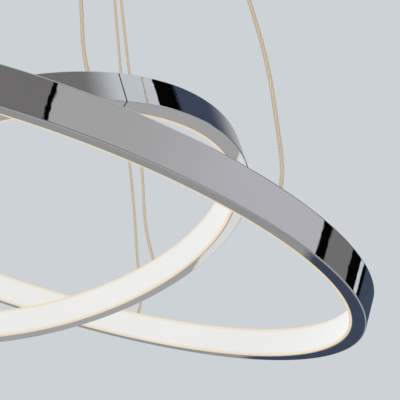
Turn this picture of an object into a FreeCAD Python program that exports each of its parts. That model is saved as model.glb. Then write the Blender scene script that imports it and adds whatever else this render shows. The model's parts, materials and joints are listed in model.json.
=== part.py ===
import FreeCAD, Part
import math
import os

os.makedirs("parts", exist_ok=True)

# Two light rings of bent channel, one inside the other and leaning opposite ways, each hung by
# three sheathed cables from one round canopy.
# Millimetres. Origin: middle of the ceiling face of the mounting plate. +Z up, all hangs below.

# ---- driving dimensions --------------------------------------------------------------------
# Rings
DROP = 680.0                 # ceiling to the shared centre of both rings
LARGE_DIAMETER = 600.0
SMALL_DIAMETER = 390.0
LARGE_TILT = 16.5            # about +Y: the +X side of the large ring hangs low
SMALL_TILT = -16.9           # the +X side of the small ring hangs high
BAND_HEIGHT = 28.0
BAND_DEPTH = 14.0
BAND_WALL = 1.5
LIP_WALL = 1.2
EDGE_CHAMFER = 0.5
SEAM_GAP = 0.3
LARGE_SEAM_ANGLE = 150.0
SMALL_SEAM_OFFSET = 22.0     # round the ring, from its first cable to the seam
LARGE_CABLE_ANGLES = (-26.5, 93.5, 213.5)
SMALL_CABLE_ANGLES = (-49.5, 73.5, 192.0)

# Diffuser, light strip and what sits in the channel
SEAT_GAP = 0.15              # between the diffuser and the lips it clips into
DIFFUSER_PROUD = 0.6
DIFFUSER_WALL = 1.8
CLIP_LEG_LENGTH = 2.4
CLIP_LEG_WALL = 1.0
BOND_GAP = 0.05              # between pieces bonded or clamped to each other
TAPE_GAP = 0.3               # between the curved web and what is taped or laid against it
STRIP_WIDTH = 10.0
STRIP_THICKNESS = 0.6
CHIP_LENGTH = 3.5
CHIP_HEIGHT = 2.8
CHIP_THICKNESS = 0.8
CHIP_PITCH = 32.0
BLOCK_DEPTH = 8.0
BLOCK_HEIGHT = 6.8
BLOCK_LENGTH = 16.0
FERRULE_DIAMETER = 4.0
GRUB_DIAMETER = 2.5
GRUB_LENGTH = 4.5
SPLICE_LENGTH = 24.0
SPLICE_HEIGHT = 4.0
SPLICE_GRUB_INSET = 6.0

# Cables
CABLE_DIAMETER = 3.0
CABLE_EXIT_RUN = 20.0        # straight out of the ring, square to it
CABLE_HANG_RUN = 14.0        # straight below the gripper's mouth

# Canopy and mounting plate
CANOPY_DIAMETER = 240.0
CANOPY_HEIGHT = 38.0
CANOPY_WALL = 1.5
CANOPY_EDGE_RADIUS = 4.0
CEILING_GAP = 0.5
PLATE_DIAMETER = 200.0
PLATE_THICKNESS = 2.0
SUPPLY_HOLE_DIAMETER = 26.0
SLOT_SPACING = 110.0
SLOT_WIDTH = 5.0
SLOT_LENGTH = 16.0
TAB_WIDTH = 14.0
TAB_DROP = 14.0              # below the plate
TAB_FOOT = 18.0              # welded under the plate's edge
TAB_THICKNESS = 2.0
TAB_GAP = 0.5
TAB_ANGLES = (0.0, 120.0, 240.0)
THUMB_SCREW_DIAMETER = 4.0
THUMB_HEAD_DIAMETER = 10.0
THUMB_HEAD_LENGTH = 5.0
THUMB_HEAD_FLUTES = 12
THUMB_FLUTE_DEPTH = 0.7
THUMB_SCREW_DEPTH = 8.0      # below the ceiling
HOLE_CLEARANCE = 0.1         # on the radius of a hole round its screw
EARTH_ANGLE = -100.0
EARTH_RADIUS = 62.0
EARTH_SCREW_DIAMETER = 4.0
EARTH_HEAD_DIAMETER = 8.0
EARTH_SCREW_LENGTH = 6.0
EARTH_HEAD_LENGTH = 2.5

# Cable grippers, in the canopy's floor
LARGE_GRIP_RADIUS = 96.0
SMALL_GRIP_RADIUS = 60.0
COLLAR_DIAMETER = 13.0
COLLAR_LENGTH = 18.0
COLLAR_CHAMFER = 0.8
NECK_DIAMETER = 8.0
NECK_LENGTH = 9.0
NECK_BORE = 3.6
CAVITY_DIAMETER = 8.4
CAVITY_TOP = 2.0             # below the canopy's floor
CAVITY_BOTTOM = 14.0
SLEEVE_DIAMETER = 6.0
SLEEVE_HEAD_DIAMETER = 8.0
SLEEVE_HEAD_LENGTH = 1.0
SLEEVE_OUT = 6.0             # how far the sleeve stands out of the collar
SLEEVE_TRAVEL = 2.5
SLIDE_GAP = 0.15
JAW_HEIGHT = 5.0
JAW_TAPER = 0.8
SPRING_WALL = 1.2
NUT_ACROSS_FLATS = 13.0
NUT_HEIGHT = 3.0

# Driver and terminal block, on the canopy's floor
DRIVER_ANGLE = -20.0
DRIVER_LENGTH = 110.0
DRIVER_WIDTH = 38.0
DRIVER_HEIGHT = 22.0
DRIVER_WALL = 1.6
DRIVER_LID = 2.0
DRIVER_CORNER = 3.0
EAR_LENGTH = 10.0
EAR_THICKNESS = 2.5
EAR_SCREW_DIAMETER = 3.5
EAR_HEAD_DIAMETER = 7.0
EAR_HEAD_LENGTH = 2.2
FLOOR_GAP = 0.05
TERMINAL_ANGLE = 130.0
TERMINAL_RADIUS = 74.0
TERMINAL_POLES = 3
TERMINAL_PITCH = 9.0
TERMINAL_WIDTH = 17.0
TERMINAL_HEIGHT = 15.0
TERMINAL_BORE = 4.0
TERMINAL_SCREW_DIAMETER = 3.0
TERMINAL_SCREW_DEPTH = 4.0

# Bends of each cable between the ring and the gripper, hand-chosen along its hang: distance from
# the canopy's axis towards the cable's foot, distance aside, and height above the rings' centre.
LARGE_CABLE_BENDS = (
    ((291.5, -3.0, -8.0), (278.5, -3.5, 42.0), (253.5, -1.0, 122.0), (209.0, 0.5, 262.0),
     (145.0, 1.0, 455.0), (109.0, 0.5, 555.0)),
    ((291.0, -2.0, 75.0), (274.0, 2.0, 135.0), (237.0, 4.5, 235.0), (185.0, 6.0, 375.0),
     (138.0, 3.5, 490.0), (111.0, 1.2, 555.0)),
    ((266.0, 6.0, 140.0), (244.0, 8.0, 195.0), (211.0, 7.0, 285.0), (166.0, 4.0, 410.0),
     (132.0, 1.5, 505.0), (110.0, 0.5, 560.0)),
)
SMALL_CABLE_BENDS = (
    ((175.5, -7.0, 105.0), (166.0, -10.0, 160.0), (146.0, -11.0, 250.0), (115.0, -8.0, 380.0),
     (87.0, -4.0, 490.0), (71.0, -1.2, 555.0)),
    ((183.0, 11.0, 85.0), (172.5, 11.5, 140.0), (149.0, 15.0, 240.0), (116.5, 14.0, 375.0),
     (88.0, 7.0, 490.0), (71.0, 2.0, 555.0)),
    ((190.0, -2.0, 18.0), (181.0, -3.0, 72.0), (160.0, -2.0, 160.0), (126.0, 0.0, 300.0),
     (92.0, 1.0, 450.0), (71.0, 0.5, 555.0)),
)

# ---- sizes worked out from them --------------------------------------------------------------
HALF_BAND = BAND_HEIGHT / 2.0
CHANNEL_HALF = HALF_BAND - LIP_WALL
CABLE_RADIUS = CABLE_DIAMETER / 2.0
CANOPY_BOTTOM = -CANOPY_HEIGHT
CANOPY_FLOOR = CANOPY_BOTTOM + CANOPY_WALL
CANOPY_INNER = CANOPY_DIAMETER / 2.0 - CANOPY_WALL
SMALL_SEAM_ANGLE = SMALL_CABLE_ANGLES[0] + math.degrees(SMALL_SEAM_OFFSET / (SMALL_DIAMETER / 2.0))
SLEEVE_MOUTH = CANOPY_BOTTOM - COLLAR_LENGTH - SLEEVE_OUT
SLEEVE_HEAD_BOTTOM = CANOPY_BOTTOM - CAVITY_BOTTOM + SLIDE_GAP
JAW_BOTTOM = SLEEVE_HEAD_BOTTOM + SLEEVE_HEAD_LENGTH + SLEEVE_TRAVEL + SLIDE_GAP
JAW_TOP = JAW_BOTTOM + JAW_HEIGHT
Z = FreeCAD.Vector(0, 0, 1)
Y = FreeCAD.Vector(0, 1, 0)
ORIGIN = FreeCAD.Vector(0, 0, 0)


# ---- general shapes --------------------------------------------------------------------------
def point(x, y, z):
    return FreeCAD.Vector(x, y, z)


def save(name, shapes):
    """Write one sub-part, of one solid or of a list of separate solids."""
    shape = Part.makeCompound(shapes) if isinstance(shapes, list) else shapes
    shape.exportStep("parts/" + name + ".step")
    print(name, "solids", len(shape.Solids), "valid", shape.isValid(), "volume", round(shape.Volume, 1))


def outline_face(corners):
    """A flat face in the XZ plane from (radius, height) corners; a third value rounds the corner."""
    count = len(corners)
    ends = []
    for index, corner in enumerate(corners):
        here = point(corner[0], 0, corner[1])
        if len(corner) == 2:
            ends.append((here, None, here))
            continue
        before = corners[index - 1]
        after = corners[(index + 1) % count]
        into = (here - point(before[0], 0, before[1])).normalize()
        out = (point(after[0], 0, after[1]) - here).normalize()
        start = here - into * corner[2]
        end = here + out * corner[2]
        centre = start + out * corner[2]
        middle = centre + (here - centre).normalize() * corner[2]
        ends.append((start, middle, end))
    edges = []
    for index, (start, middle, end) in enumerate(ends):
        if middle is not None:
            edges.append(Part.Arc(start, middle, end).toShape())
        edges.append(Part.LineSegment(end, ends[(index + 1) % count][0]).toShape())
    return Part.Face(Part.Wire(edges))


def turned(corners, angle=360.0, start=0.0):
    """The solid that an outline sweeps about the Z axis."""
    face = outline_face(corners)
    face.rotate(ORIGIN, Z, start)
    return face.revolve(ORIGIN, Z, angle)


def bored_disc(radius, bore, low, high):
    """A round spacer or tube from one height to another."""
    return turned([(bore, low), (radius, low), (radius, high), (bore, high)])


def post(radius, low, high, x=0.0, y=0.0):
    return Part.makeCylinder(radius, high - low, point(x, y, low), Z)


def block(length, width, low, high, x=0.0, y=0.0):
    """A box centred on (x, y), from one height to another."""
    return Part.makeBox(length, width, high - low, point(x - length / 2.0, y - width / 2.0, low))


def at_polar(shape, radius, angle):
    """A copy moved out along +X, then turned about the Z axis."""
    copy = shape.copy()
    copy.translate(point(radius, 0, 0))
    copy.rotate(ORIGIN, Z, angle)
    return copy


def rounded_block(length, width, corner, low, high):
    body = block(length, width, low, high)
    upright = [e for e in body.Edges if abs(e.Vertexes[0].Z - e.Vertexes[1].Z) > (high - low) / 2.0]
    return body.makeFillet(corner, upright)


# ---- one light ring, made flat about the origin ----------------------------------------------
def ring_shell(radius, seam_angle, cable_angles):
    """Bent channel, open inwards, with a butt seam and a hole in its top for each cable ferrule."""
    inner = radius - BAND_DEPTH
    web = radius - BAND_WALL
    cut = min(EDGE_CHAMFER, 0.5 * min(BAND_WALL, LIP_WALL))
    section = [
        (radius - cut, -HALF_BAND), (radius, -HALF_BAND + cut), (radius, HALF_BAND - cut),
        (radius - cut, HALF_BAND), (inner, HALF_BAND), (inner, CHANNEL_HALF), (web, CHANNEL_HALF),
        (web, -CHANNEL_HALF), (inner, -CHANNEL_HALF), (inner, -HALF_BAND),
    ]
    gap = math.degrees(SEAM_GAP / radius)
    shell = turned(section, 360.0 - gap, seam_angle + gap / 2.0)
    hole = post(FERRULE_DIAMETER / 2.0 + BOND_GAP, 0.0, HALF_BAND + LIP_WALL)
    return shell.cut([at_polar(hole, cable_radius(radius), angle) for angle in cable_angles])


def cable_radius(radius):
    """Where the cables meet a ring: the middle of its top face."""
    return radius - BAND_DEPTH / 2.0


def ring_diffuser(radius):
    """Light-passing cover on the inner side, with two legs that clip in behind the lips."""
    face = radius - BAND_DEPTH - DIFFUSER_PROUD
    back = face + DIFFUSER_WALL
    leg_end = back + CLIP_LEG_LENGTH
    half = CHANNEL_HALF - SEAT_GAP
    inside = half - CLIP_LEG_WALL
    return turned([
        (face, -half), (leg_end, -half), (leg_end, -inside), (back, -inside),
        (back, inside), (leg_end, inside), (leg_end, half), (face, half),
    ])


def ring_strip(radius):
    """Flexible light strip taped to the inside of the channel's web."""
    outside = radius - BAND_WALL - TAPE_GAP
    return bored_disc(outside, outside - STRIP_THICKNESS, -STRIP_WIDTH / 2.0, STRIP_WIDTH / 2.0)


def ring_chips(radius):
    """Light chips at an even pitch round the strip."""
    seat = radius - BAND_WALL - TAPE_GAP - STRIP_THICKNESS
    flat = math.sqrt(seat ** 2 - (CHIP_LENGTH / 2.0) ** 2) - CHIP_THICKNESS / 2.0
    chip = block(CHIP_THICKNESS, CHIP_LENGTH, -CHIP_HEIGHT / 2.0, CHIP_HEIGHT / 2.0)
    count = int(2.0 * math.pi * radius / CHIP_PITCH)
    return [at_polar(chip, flat, 360.0 * (n + 0.5) / count) for n in range(count)]


def block_middle(radius, length):
    """Distance from the axis at which a straight block of this length sits in the channel."""
    web = radius - BAND_WALL - TAPE_GAP
    return math.sqrt(web ** 2 - (length / 2.0) ** 2) - BLOCK_DEPTH / 2.0


def ferrule_bore():
    return FERRULE_DIAMETER / 2.0 + BOND_GAP


def grub_bore():
    return GRUB_DIAMETER / 2.0 + BOND_GAP


def anchor_block(radius):
    """Block under the channel's top that holds one cable ferrule with a grub screw."""
    top = CHANNEL_HALF - BOND_GAP
    middle = block_middle(radius, BLOCK_LENGTH)
    body = block(BLOCK_DEPTH, BLOCK_LENGTH, top - BLOCK_HEIGHT, top)
    offset = cable_radius(radius) - middle
    bore = post(ferrule_bore(), top - BLOCK_HEIGHT - 1.0, top + 1.0, offset)
    side = Part.makeCylinder(grub_bore(), BLOCK_LENGTH, point(offset, 0, grub_height()), Y)
    return body.cut([bore, side])


def grub_height():
    return CHANNEL_HALF - BOND_GAP - BLOCK_HEIGHT / 2.0


def ring_anchor_blocks(radius, cable_angles):
    return [at_polar(anchor_block(radius), block_middle(radius, BLOCK_LENGTH), angle)
            for angle in cable_angles]


def ring_ferrules(radius, cable_angles):
    """Crimped ends of the cables, flush with the ring's top face."""
    bottom = CHANNEL_HALF - BOND_GAP - BLOCK_HEIGHT
    ferrule = post(FERRULE_DIAMETER / 2.0, bottom, HALF_BAND)
    return [at_polar(ferrule, cable_radius(radius), angle) for angle in cable_angles]


def ring_anchor_screws(radius, cable_angles):
    """Grub screws that clamp the ferrules, along the ring."""
    start = FERRULE_DIAMETER / 2.0 + BOND_GAP
    screw = Part.makeCylinder(GRUB_DIAMETER / 2.0, GRUB_LENGTH, point(0, start, grub_height()), Y)
    return [at_polar(screw, cable_radius(radius), angle) for angle in cable_angles]


def splice_bar(radius):
    """Bar in the channel that bridges the seam, bored for two grub screws."""
    top = CHANNEL_HALF - BOND_GAP
    body = block(BLOCK_DEPTH, SPLICE_LENGTH, top - SPLICE_HEIGHT, top)
    holes = [splice_grub(side, grub_bore(), BLOCK_DEPTH) for side in (-1, 1)]
    return body.cut(holes)


def splice_grub(side, screw_radius, length):
    """A grub screw, or its hole, that presses outwards through the splice bar."""
    aside = side * (SPLICE_LENGTH / 2.0 - SPLICE_GRUB_INSET)
    height = CHANNEL_HALF - BOND_GAP - SPLICE_HEIGHT / 2.0
    return Part.makeCylinder(screw_radius, length, point(BLOCK_DEPTH / 2.0 - length, aside, height),
                             point(1, 0, 0))


def ring_splice(radius, seam_angle):
    return at_polar(splice_bar(radius), block_middle(radius, SPLICE_LENGTH), seam_angle)


def ring_splice_screws(radius, seam_angle):
    middle = block_middle(radius, SPLICE_LENGTH)
    return [at_polar(splice_grub(side, GRUB_DIAMETER / 2.0, GRUB_LENGTH), middle, seam_angle)
            for side in (-1, 1)]


def hang(shapes, tilt):
    """Lean a flat ring piece, or a list of them, and lower it to the rings' centre."""
    for shape in shapes if isinstance(shapes, list) else [shapes]:
        shape.rotate(ORIGIN, Y, tilt)
        shape.translate(point(0, 0, -DROP))
    return shapes


def save_ring(name, radius, tilt, seam_angle, cable_angles):
    pieces = {
        "profile": ring_shell(radius, seam_angle, cable_angles),
        "diffuser": ring_diffuser(radius),
        "light_strip": ring_strip(radius),
        "light_chips": ring_chips(radius),
        "seam_splice": ring_splice(radius, seam_angle),
        "splice_screws": ring_splice_screws(radius, seam_angle),
        "anchor_blocks": ring_anchor_blocks(radius, cable_angles),
        "anchor_screws": ring_anchor_screws(radius, cable_angles),
        "cable_ferrules": ring_ferrules(radius, cable_angles),
    }
    for piece, shapes in pieces.items():
        save(name + "_" + piece, hang(shapes, tilt))


# ---- cables ----------------------------------------------------------------------------------
def leaning(radius, angle, height, tilt):
    """A point of a ring, after it is leant and lowered."""
    turn = math.radians(angle)
    lean = math.radians(tilt)
    out = radius * math.cos(turn)
    return point(out * math.cos(lean) + height * math.sin(lean), radius * math.sin(turn),
                 height * math.cos(lean) - out * math.sin(lean) - DROP)


def grip_angle(radius, angle, tilt):
    """Direction, about the canopy's axis, of the gripper over a cable's foot."""
    foot = leaning(cable_radius(radius), angle, HALF_BAND, tilt)
    return math.degrees(math.atan2(foot.y, foot.x))


def cable_route(radius, angle, tilt, grip_radius, bends):
    """Foot square on the ring, the hand-chosen bends, then straight up into the gripper."""
    towards = math.radians(grip_angle(radius, angle, tilt))
    out = point(math.cos(towards), math.sin(towards), 0)
    aside = point(-math.sin(towards), math.cos(towards), 0)
    route = [leaning(cable_radius(radius), angle, HALF_BAND, tilt),
             leaning(cable_radius(radius), angle, HALF_BAND + CABLE_EXIT_RUN, tilt)]
    route += [out * reach + aside * shift + point(0, 0, height - DROP)
              for reach, shift, height in bends]
    route += [out * grip_radius + point(0, 0, SLEEVE_MOUTH - CABLE_HANG_RUN),
              out * grip_radius + point(0, 0, JAW_TOP)]
    return route


def cable(name, route):
    """Tube of the cable: straight runs joined by tangent arcs as large as the runs allow."""
    edges = []
    radii = []
    start = route[0]
    for before, here, after in zip(route, route[1:], route[2:]):
        into = here - before
        out = after - here
        reach = 0.45 * min(into.Length, out.Length)
        half_turn = into.getAngle(out) / 2.0
        radii.append(reach / math.tan(half_turn))
        into.normalize()
        out.normalize()
        enter = here - into * reach
        leave = here + out * reach
        towards = (out - into).normalize()
        middle = here + towards * (radii[-1] / math.cos(half_turn) - radii[-1])
        edges.append(Part.LineSegment(start, enter).toShape())
        edges.append(Part.Arc(enter, middle, leave).toShape())
        start = leave
    edges.append(Part.LineSegment(start, route[-1]).toShape())
    path = Part.Wire(edges)
    face = Part.Face(Part.Wire(Part.makeCircle(CABLE_RADIUS, route[0], route[1] - route[0])))
    tube = path.makePipe(face)
    print(name, "length", round(path.Length, 1), "smallest radius", round(min(radii), 1),
          "volume by section", round(math.pi * CABLE_RADIUS ** 2 * path.Length / tube.Volume, 4))
    return tube


def save_cables(name, radius, tilt, angles, grip_radius, all_bends):
    for index, (angle, bends) in enumerate(zip(angles, all_bends), start=1):
        node = name + "_cable_" + str(index)
        save(node, cable(node, cable_route(radius, angle, tilt, grip_radius, bends)))


# ---- cable grippers, made about the Z axis at their own height --------------------------------
def gripper_places():
    """(distance from the canopy's axis, direction) of the six grippers."""
    large = LARGE_DIAMETER / 2.0
    small = SMALL_DIAMETER / 2.0
    return ([(LARGE_GRIP_RADIUS, grip_angle(large, angle, LARGE_TILT)) for angle in LARGE_CABLE_ANGLES]
            + [(SMALL_GRIP_RADIUS, grip_angle(small, angle, SMALL_TILT)) for angle in SMALL_CABLE_ANGLES])


def gripper_body():
    """Collar under the canopy, with a neck through its floor and a cavity for the jaws."""
    collar = COLLAR_DIAMETER / 2.0
    cavity = CAVITY_DIAMETER / 2.0
    mouth = SLEEVE_DIAMETER / 2.0 + SLIDE_GAP
    bottom = CANOPY_BOTTOM - COLLAR_LENGTH
    return turned([
        (mouth, bottom), (collar - COLLAR_CHAMFER, bottom), (collar, bottom + COLLAR_CHAMFER),
        (collar, CANOPY_BOTTOM), (NECK_DIAMETER / 2.0, CANOPY_BOTTOM),
        (NECK_DIAMETER / 2.0, CANOPY_BOTTOM + NECK_LENGTH), (NECK_BORE / 2.0, CANOPY_BOTTOM + NECK_LENGTH),
        (NECK_BORE / 2.0, CANOPY_BOTTOM - CAVITY_TOP), (cavity, CANOPY_BOTTOM - CAVITY_TOP),
        (cavity, CANOPY_BOTTOM - CAVITY_BOTTOM), (mouth, CANOPY_BOTTOM - CAVITY_BOTTOM),
    ])


def gripper_sleeve():
    """Release sleeve: pressed up, it frees the jaws; its head keeps it in the collar."""
    head_top = SLEEVE_HEAD_BOTTOM + SLEEVE_HEAD_LENGTH
    bore = CABLE_RADIUS + SLIDE_GAP
    outer = SLEEVE_DIAMETER / 2.0
    return turned([
        (bore, SLEEVE_MOUTH), (outer, SLEEVE_MOUTH), (outer, SLEEVE_HEAD_BOTTOM),
        (SLEEVE_HEAD_DIAMETER / 2.0, SLEEVE_HEAD_BOTTOM), (SLEEVE_HEAD_DIAMETER / 2.0, head_top),
        (bore, head_top),
    ])


def gripper_jaws():
    """Tapered collet that holds the cable."""
    wide = CAVITY_DIAMETER / 2.0 - SLIDE_GAP
    return turned([
        (CABLE_RADIUS, JAW_BOTTOM), (wide - JAW_TAPER, JAW_BOTTOM), (wide, JAW_TOP),
        (CABLE_RADIUS, JAW_TOP),
    ])


def gripper_spring():
    """Envelope of the small coil that keeps the jaws seated."""
    wide = CAVITY_DIAMETER / 2.0 - SLIDE_GAP
    return bored_disc(wide, wide - SPRING_WALL, JAW_TOP + BOND_GAP, CANOPY_BOTTOM - CAVITY_TOP - BOND_GAP)


def gripper_nut():
    """Six-sided nut that clamps the gripper to the canopy's floor."""
    side = NUT_ACROSS_FLATS / math.sqrt(3.0)
    corners = [point(side * math.cos(math.radians(60.0 * n)), side * math.sin(math.radians(60.0 * n)),
                     CANOPY_FLOOR) for n in range(7)]
    nut = Part.Face(Part.makePolygon(corners)).extrude(point(0, 0, NUT_HEIGHT))
    return nut.cut(post(NECK_DIAMETER / 2.0 + BOND_GAP, CANOPY_FLOOR, CANOPY_FLOOR + NUT_HEIGHT))


def save_grippers():
    places = gripper_places()
    grouped = {
        "gripper_bodies": gripper_body(),
        "gripper_jaws": gripper_jaws(),
        "gripper_springs": gripper_spring(),
        "gripper_nuts": gripper_nut(),
    }
    for name, shape in grouped.items():
        save(name, [at_polar(shape, reach, angle) for reach, angle in places])
    for index, (reach, angle) in enumerate(places, start=1):
        save("gripper_sleeve_" + str(index), at_polar(gripper_sleeve(), reach, angle))


# ---- canopy and mounting plate ---------------------------------------------------------------
def canopy_cup():
    """Round cup, open to the ceiling, with gripper holes and a notch in the rim for each screw."""
    outer = CANOPY_DIAMETER / 2.0
    cup = turned([
        (0.0, CANOPY_BOTTOM), (outer, CANOPY_BOTTOM, CANOPY_EDGE_RADIUS), (outer, -CEILING_GAP),
        (CANOPY_INNER, -CEILING_GAP),
        (CANOPY_INNER, CANOPY_FLOOR, max(CANOPY_EDGE_RADIUS - CANOPY_WALL, CANOPY_WALL / 2.0)),
        (0.0, CANOPY_FLOOR),
    ])
    neck_hole = post(NECK_DIAMETER / 2.0 + HOLE_CLEARANCE, CANOPY_BOTTOM - 1.0, CANOPY_FLOOR + 1.0)
    ear_hole = post(EAR_SCREW_DIAMETER / 2.0 + HOLE_CLEARANCE, CANOPY_BOTTOM - 1.0, CANOPY_FLOOR + 1.0)
    width = THUMB_SCREW_DIAMETER + 2.0 * HOLE_CLEARANCE
    notch = Part.makeBox(3.0 * CANOPY_WALL, width, THUMB_SCREW_DEPTH,
                         point(-1.5 * CANOPY_WALL, -width / 2.0, -THUMB_SCREW_DEPTH))
    seat = Part.makeCylinder(width / 2.0, 3.0 * CANOPY_WALL,
                             point(-1.5 * CANOPY_WALL, 0, -THUMB_SCREW_DEPTH), point(1, 0, 0))
    cuts = [at_polar(neck_hole, reach, angle) for reach, angle in gripper_places()]
    cuts += [at_polar(ear_hole, ear_reach(), DRIVER_ANGLE + turn) for turn in (0.0, 180.0)]
    cuts += [at_polar(notch.fuse(seat), outer - CANOPY_WALL / 2.0, angle) for angle in TAB_ANGLES]
    return cup.cut(cuts)


def slot_hole():
    """Slotted screw hole, longer along X."""
    straight = SLOT_LENGTH - SLOT_WIDTH
    low = -PLATE_THICKNESS - 1.0
    ends = [post(SLOT_WIDTH / 2.0, low, 1.0, side * straight / 2.0) for side in (-1, 1)]
    return block(straight, SLOT_WIDTH, low, 1.0).fuse(ends)


def mounting_plate():
    """Disc against the ceiling, with two slots, the supply hole and the earth screw's hole."""
    low = -PLATE_THICKNESS - 1.0
    cuts = [post(SUPPLY_HOLE_DIAMETER / 2.0, low, 1.0)]
    for side in (-1, 1):
        slot = slot_hole()
        slot.translate(point(side * SLOT_SPACING / 2.0, 0, 0))
        cuts.append(slot)
    cuts.append(at_polar(post(EARTH_SCREW_DIAMETER / 2.0 + BOND_GAP, low, 1.0), EARTH_RADIUS, EARTH_ANGLE))
    return post(PLATE_DIAMETER / 2.0, -PLATE_THICKNESS, 0.0).cut(cuts)


def mounting_tab():
    """Bent bracket welded under the plate's edge, with the hole of a thumb screw in its leg."""
    face = CANOPY_INNER - TAB_GAP
    top = -PLATE_THICKNESS - BOND_GAP
    start = PLATE_DIAMETER / 2.0 - TAB_FOOT
    foot = block(face - start, TAB_WIDTH, top - TAB_THICKNESS, top, (face + start) / 2.0)
    leg = block(TAB_THICKNESS, TAB_WIDTH, top - TAB_DROP, top, face - TAB_THICKNESS / 2.0)
    hole = Part.makeCylinder(THUMB_SCREW_DIAMETER / 2.0 + BOND_GAP, 3.0 * TAB_THICKNESS,
                             point(face - 2.0 * TAB_THICKNESS, 0, -THUMB_SCREW_DEPTH), point(1, 0, 0))
    return foot.fuse(leg).cut(hole).removeSplitter()


def thumb_screw():
    """Side screw with a fluted head that stands outside the canopy."""
    outside = CANOPY_DIAMETER / 2.0 + HOLE_CLEARANCE
    start = CANOPY_INNER - TAB_GAP - TAB_THICKNESS
    along = point(1, 0, 0)
    shank = Part.makeCylinder(THUMB_SCREW_DIAMETER / 2.0, outside - start,
                              point(start, 0, -THUMB_SCREW_DEPTH), along)
    rim = []
    for n in range(2 * THUMB_HEAD_FLUTES + 1):
        turn = math.pi * n / THUMB_HEAD_FLUTES
        reach = THUMB_HEAD_DIAMETER / 2.0 - THUMB_FLUTE_DEPTH * (n % 2)
        rim.append(point(outside, reach * math.cos(turn), reach * math.sin(turn) - THUMB_SCREW_DEPTH))
    head = Part.Face(Part.makePolygon(rim)).extrude(along * THUMB_HEAD_LENGTH)
    return shank.fuse(head)


def earth_screw():
    """Pan-headed screw of the earth terminal, in the mounting plate."""
    head_top = -PLATE_THICKNESS - EARTH_SCREW_LENGTH
    shank = post(EARTH_SCREW_DIAMETER / 2.0, head_top, 0.0)
    head = post(EARTH_HEAD_DIAMETER / 2.0, head_top - EARTH_HEAD_LENGTH, head_top)
    return at_polar(shank.fuse(head), EARTH_RADIUS, EARTH_ANGLE)


# ---- driver and terminal block ---------------------------------------------------------------
def ear_reach():
    """Distance of the driver's fixing screws from the canopy's axis."""
    return DRIVER_LENGTH / 2.0 + EAR_LENGTH / 2.0


def driver_case():
    """Open tray with two fixing ears."""
    low = CANOPY_FLOOR + FLOOR_GAP
    high = low + DRIVER_HEIGHT
    tray = rounded_block(DRIVER_LENGTH, DRIVER_WIDTH, DRIVER_CORNER, low, high)
    inner_corner = max(DRIVER_CORNER - DRIVER_WALL, DRIVER_WALL / 2.0)
    hollow = rounded_block(DRIVER_LENGTH - 2.0 * DRIVER_WALL, DRIVER_WIDTH - 2.0 * DRIVER_WALL,
                           inner_corner, low + DRIVER_WALL, high + 1.0)
    ears = block(DRIVER_LENGTH + 2.0 * EAR_LENGTH, DRIVER_WIDTH / 2.0, low, low + EAR_THICKNESS)
    holes = [post(EAR_SCREW_DIAMETER / 2.0 + BOND_GAP, low - 1.0, high, side * ear_reach())
             for side in (-1, 1)]
    case = tray.fuse(ears).cut(hollow).cut(holes).removeSplitter()
    case.rotate(ORIGIN, Z, DRIVER_ANGLE)
    return case


def driver_lid():
    """Flat lid that closes the tray."""
    low = CANOPY_FLOOR + FLOOR_GAP + DRIVER_HEIGHT + FLOOR_GAP
    lid = rounded_block(DRIVER_LENGTH, DRIVER_WIDTH, DRIVER_CORNER, low, low + DRIVER_LID)
    lid.rotate(ORIGIN, Z, DRIVER_ANGLE)
    return lid


def driver_screw():
    """Screw through an ear of the driver and the canopy's floor."""
    seat = CANOPY_FLOOR + FLOOR_GAP + EAR_THICKNESS
    shank = post(EAR_SCREW_DIAMETER / 2.0, CANOPY_BOTTOM, seat)
    return shank.fuse(post(EAR_HEAD_DIAMETER / 2.0, seat, seat + EAR_HEAD_LENGTH))


def terminal_place(shape):
    """Turn a terminal piece square to the driver and set it at its place on the floor."""
    shape.rotate(ORIGIN, Z, DRIVER_ANGLE - TERMINAL_ANGLE)
    return at_polar(shape, TERMINAL_RADIUS, TERMINAL_ANGLE)


def terminal_offsets():
    return [(n - (TERMINAL_POLES - 1) / 2.0) * TERMINAL_PITCH for n in range(TERMINAL_POLES)]


def terminal_block():
    """Three-pole block with a wire bore and a screw well in each pole."""
    low = CANOPY_FLOOR + FLOOR_GAP
    high = low + TERMINAL_HEIGHT
    body = block(TERMINAL_POLES * TERMINAL_PITCH, TERMINAL_WIDTH, low, high)
    cuts = []
    for x in terminal_offsets():
        cuts.append(Part.makeCylinder(TERMINAL_BORE / 2.0, TERMINAL_WIDTH + 2.0,
                                      point(x, -TERMINAL_WIDTH / 2.0 - 1.0, low + TERMINAL_HEIGHT / 2.0), Y))
        cuts.append(post(TERMINAL_SCREW_DIAMETER / 2.0 + BOND_GAP, high - TERMINAL_SCREW_DEPTH, high + 1.0, x))
    return terminal_place(body.cut(cuts))


def terminal_screws():
    """Wire clamp screws, sunk level with the block's top."""
    high = CANOPY_FLOOR + FLOOR_GAP + TERMINAL_HEIGHT
    return [terminal_place(post(TERMINAL_SCREW_DIAMETER / 2.0, high - TERMINAL_SCREW_DEPTH, high, x))
            for x in terminal_offsets()]


def save_canopy():
    save("mounting_plate", mounting_plate())
    save("mounting_tabs", [at_polar(mounting_tab(), 0.0, angle) for angle in TAB_ANGLES])
    save("canopy_thumb_screws", [at_polar(thumb_screw(), 0.0, angle) for angle in TAB_ANGLES])
    save("earth_screw", earth_screw())
    save("canopy_cup", canopy_cup())
    save("driver_case", driver_case())
    save("driver_lid", driver_lid())
    save("driver_screws", [at_polar(driver_screw(), ear_reach(), DRIVER_ANGLE + turn)
                           for turn in (0.0, 180.0)])
    save("terminal_block", terminal_block())
    save("terminal_screws", terminal_screws())


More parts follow.
